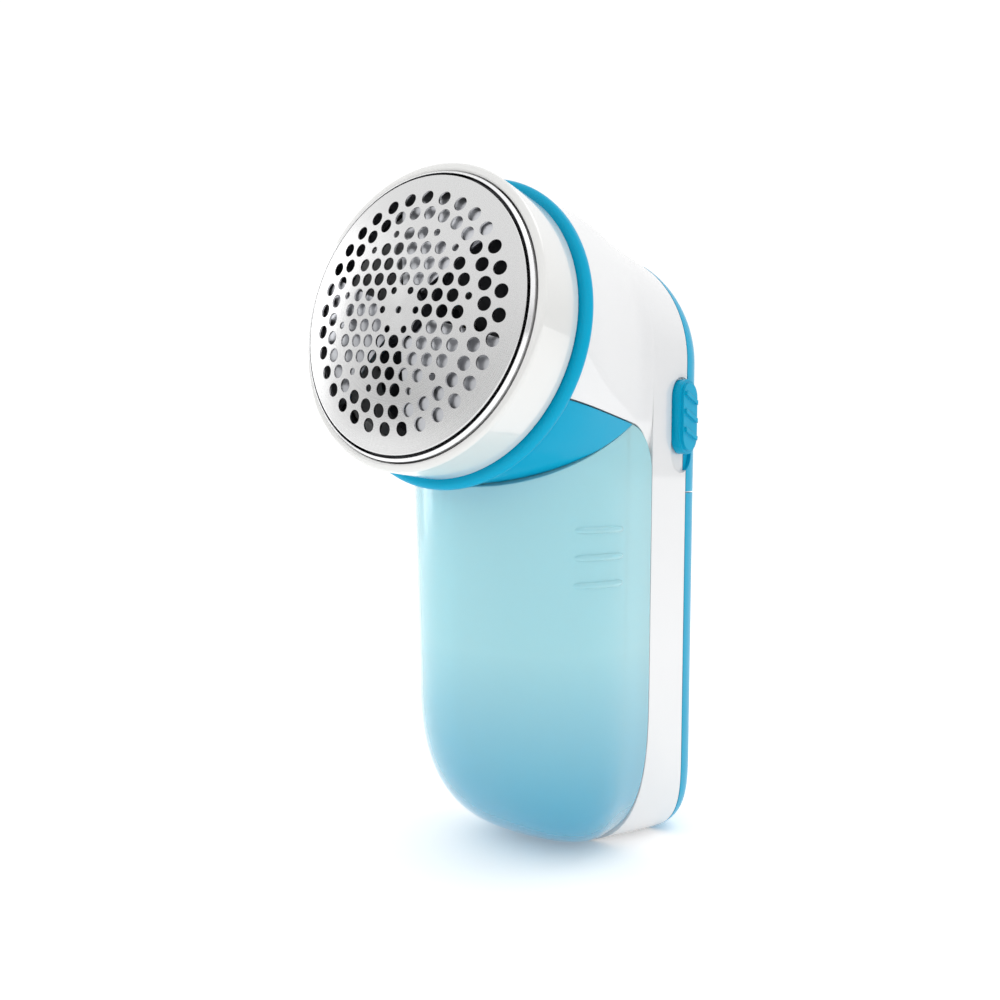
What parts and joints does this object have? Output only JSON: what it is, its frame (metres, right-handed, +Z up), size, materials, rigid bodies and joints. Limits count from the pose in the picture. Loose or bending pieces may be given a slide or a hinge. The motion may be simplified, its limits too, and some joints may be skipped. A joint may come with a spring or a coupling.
{
  "type": "fabric shaver",
  "caption": "Hand-held battery fabric shaver: a round perforated cutting head on a white and blue handle, with a clear blue lint container in front.",
  "frame": {"origin": "middle of the flat underside of the main housing, where the shaver stands", "axes": "+Z up along the handle, -Y towards the cutting head, +X towards the side with the switch"},
  "size_m": [0.0634, 0.0825, 0.1412],
  "materials": {
    "white_shell": "gloss",
    "ivory_ring": "gloss",
    "blue_shell": "gloss",
    "clear_blue": "frosted, translucent",
    "foil_steel": "circular brush",
    "rim_steel": "polished",
    "blade_steel": "satin",
    "dark_steel": "satin",
    "spring_steel": "bright",
    "motor_steel": "zinc plated",
    "grey_plastic": "matte",
    "black_plastic": "matte",
    "seal_rubber": "matte",
    "brass_parts": "satin",
    "copper_winding": "enamelled",
    "magnet": "sintered",
    "capacitor_body": "satin",
    "cell_sleeve": "satin sleeve",
    "wire_red": "satin",
    "wire_black": "satin"
  },
  "bodies": {
    "handle": {"main_housing": "white_shell", "rear_housing": "blue_shell", "lint_chute": "blue_shell", "collar_ring": "blue_shell", "motor_mount": "grey_plastic", "motor_screw_1": "dark_steel", "motor_screw_2": "dark_steel", "motor_can": "motor_steel", "front_bushing": "brass_parts", "motor_magnet_1": "magnet", "motor_magnet_2": "magnet", "motor_end_cap": "black_plastic", "motor_terminal_1": "brass_parts", "motor_terminal_2": "brass_parts", "noise_capacitor": "capacitor_body", "battery_1": "cell_sleeve", "battery_2": "cell_sleeve", "battery_tray": "grey_plastic", "contact_positive": "brass_parts", "contact_negative": "brass_parts", "contact_bridge": "brass_parts", "battery_spring_top": "spring_steel", "battery_spring_bottom": "spring_steel", "switch_base": "black_plastic", "switch_contact_1": "brass_parts", "switch_contact_2": "brass_parts", "wire_battery_motor": "wire_red", "wire_motor_switch": "wire_black", "wire_battery_switch": "wire_black", "housing_screw_1": "dark_steel", "housing_screw_2": "dark_steel", "housing_screw_3": "dark_steel", "housing_screw_4": "dark_steel"},
    "head_seal_carrier": {"head_seal": "seal_rubber"},
    "head": {"head_ring": "ivory_ring", "foil": "foil_steel", "foil_rim": "rim_steel", "foil_clamp_ring": "grey_plastic"},
    "rotor": {"motor_shaft": "rim_steel", "motor_armature": "copper_winding", "blade_carrier": "grey_plastic", "blade_1": "blade_steel", "blade_2": "blade_steel", "blade_3": "blade_steel", "hub_cap": "dark_steel", "blade_spring": "spring_steel"},
    "container": {"lint_container": "clear_blue"},
    "door": {"battery_door": "blue_shell"},
    "switch": {"switch_button": "blue_shell", "switch_slider": "black_plastic"}
  },
  "joints": [
    {"name": "rotor_spin", "type": "hinge", "parent": "handle", "child": "rotor", "pos_m": [0, -0.05775, 0.112], "axis": [0, -0.9881, 0.1538], "continuous": true},
    {"name": "head_lift", "type": "slide", "parent": "handle", "child": "head_seal_carrier", "axis": [0, -0.9881, 0.1538], "range_m": [0, 0.00801]},
    {"name": "head_twist", "type": "hinge", "parent": "head_seal_carrier", "child": "head", "pos_m": [0, -0.05775, 0.112], "axis": [0, -0.9881, 0.1538], "range_deg": [0, 120]},
    {"name": "container_slide", "type": "slide", "parent": "handle", "child": "container", "axis": [0, 0, -1], "range_m": [0, 0.09]},
    {"name": "battery_door_slide", "type": "slide", "parent": "handle", "child": "door", "axis": [0, 0, -1], "range_m": [0, 0.078]},
    {"name": "switch_travel", "type": "slide", "parent": "handle", "child": "switch", "axis": [0, 0, -1], "range_m": [0, 0.0036]}
  ],
  "couplings": [
    {"joint": "head_lift", "follows": "head_twist", "m_per_rad": 0.00382}
  ]
}
